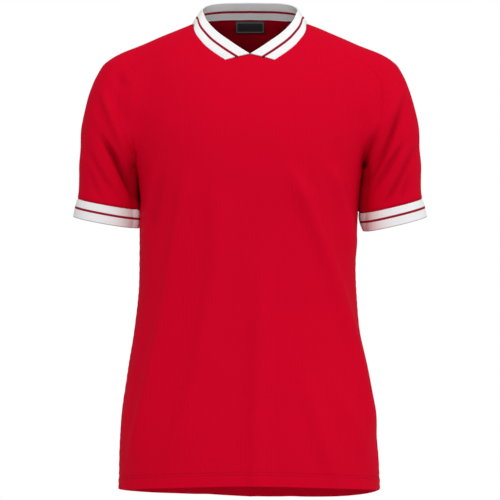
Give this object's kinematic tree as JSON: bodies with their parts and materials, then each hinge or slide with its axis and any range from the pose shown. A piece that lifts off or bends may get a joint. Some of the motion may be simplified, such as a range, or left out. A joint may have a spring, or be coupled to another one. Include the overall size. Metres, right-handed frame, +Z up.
{
  "type": "football jersey",
  "caption": "Short-sleeved football jersey in its hollow worn shape, with a striped rib V-collar and cuffs, saddle sleeves and a neck label.",
  "frame": {"origin": "midway between the high shoulder points, level with them, where the wearer's shoulders carry the shirt", "axes": "+Z up towards the collar, -Y out of the front, +X towards the wearer's left sleeve"},
  "size_m": [0.5508, 0.2913, 0.7856],
  "materials": {
    "red_knit": "matt ribbed polyester knit",
    "white_rib": "matt white flat-knit rib with a thin red line",
    "black_label": "plain black woven label"
  },
  "bodies": {
    "root": {"front": "red_knit", "back": "red_knit", "sleeve_left": "red_knit", "sleeve_right": "red_knit", "collar": "white_rib", "cuff_left": "white_rib", "cuff_right": "white_rib", "neck_label": "black_label"}
  },
  "joints": []
}
